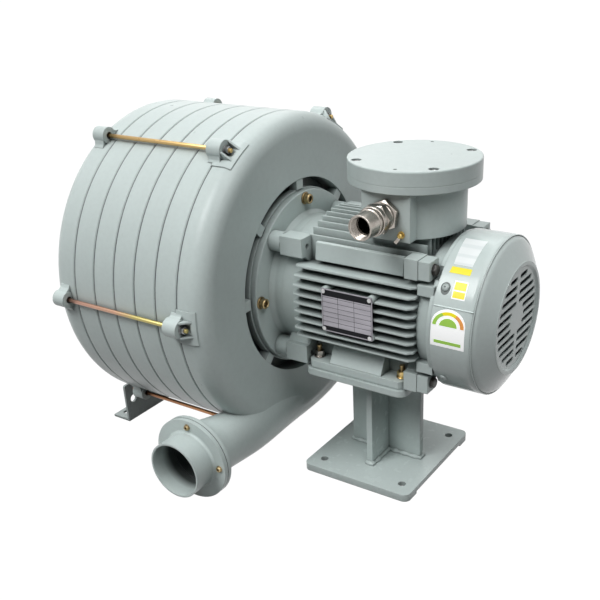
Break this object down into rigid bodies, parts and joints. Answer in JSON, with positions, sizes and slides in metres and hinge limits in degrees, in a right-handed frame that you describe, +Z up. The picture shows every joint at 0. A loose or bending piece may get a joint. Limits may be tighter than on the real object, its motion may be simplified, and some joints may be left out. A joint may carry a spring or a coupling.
{
  "type": "multistage blower",
  "caption": "Centrifugal multistage blower: ring-built drum casing on tie rods, overhung shaft, finned motor on a welded pedestal, low side discharge.",
  "frame": {"origin": "centre of the four anchor holes of the pedestal's base plate, on the floor", "axes": "+X along the shaft from the blower towards the motor's fan, -Y the way the discharge blows, +Z up"},
  "size_m": [0.6975, 0.56, 0.529],
  "materials": {
    "paint": "satin grey-green enamel",
    "paint_plate": "satin grey-green enamel on rolled plate",
    "cast_wheel": "as cast",
    "turned_steel": "turned",
    "bearing_steel": "ground",
    "yellow_zinc": "yellow passivated",
    "nickel": "nickel plated",
    "brass_screw": "plain",
    "laminations": "stacked sheet",
    "copper": "varnished",
    "seal_rubber": "matte",
    "fan_plastic": "moulded",
    "block_plastic": "moulded",
    "gasket": "matte",
    "plate_face": "brushed",
    "dark_steel": "blackened"
  },
  "bodies": {
    "casing": {"rear_cover": "paint", "front_cover": "paint", "inlet_spigot": "paint", "inlet_guard": "dark_steel", "inlet_bolts": "yellow_zinc", "discharge_spigot": "paint", "discharge_gasket": "gasket", "discharge_bolts": "yellow_zinc", "tie_rods": "yellow_zinc", "tie_rod_nuts": "yellow_zinc", "rear_bracket": "paint_plate", "rear_bracket_bolts": "yellow_zinc", "pedestal_base_plate": "paint_plate", "pedestal_base_strips": "paint_plate", "pedestal_column": "paint_plate", "pedestal_top_plate": "paint_plate", "foot_bolts": "yellow_zinc", "foot_washers": "yellow_zinc", "foot_nuts": "yellow_zinc", "motor_frame": "paint", "drive_end_shield": "paint", "fan_end_shield": "paint", "drive_shield_screws": "dark_steel", "fan_shield_screws": "dark_steel", "flange_bolts": "yellow_zinc", "stator_core": "laminations", "stator_windings": "copper", "terminal_box": "paint", "terminal_box_cover": "paint", "terminal_cover_screws": "turned_steel", "terminal_block": "block_plastic", "gland_locknut": "nickel", "gland_body": "nickel", "gland_cap": "nickel", "earth_screw": "brass_screw", "fan_cover": "paint", "fan_cover_screws": "turned_steel", "nameplate": "plate_face", "nameplate_screws": "turned_steel", "bearing_outer_rings": "bearing_steel", "bearing_balls": "bearing_steel", "shaft_seal": "seal_rubber", "stage_ring_1": "paint", "stage_ring_2": "paint", "stage_ring_3": "paint", "stage_ring_4": "paint", "stage_ring_5": "paint"},
    "rotor": {"shaft": "turned_steel", "shaft_nut": "turned_steel", "wheel_spacers": "turned_steel", "rotor_core": "laminations", "cooling_fan": "fan_plastic", "bearing_inner_rings": "bearing_steel", "impeller_1": "cast_wheel", "impeller_2": "cast_wheel", "impeller_3": "cast_wheel", "impeller_4": "cast_wheel", "impeller_5": "cast_wheel", "impeller_6": "cast_wheel"}
  },
  "joints": [
    {"name": "rotor_spin", "type": "hinge", "parent": "casing", "child": "rotor", "pos_m": [0, 0, 0.283], "axis": [1, 0, 0], "continuous": true}
  ]
}
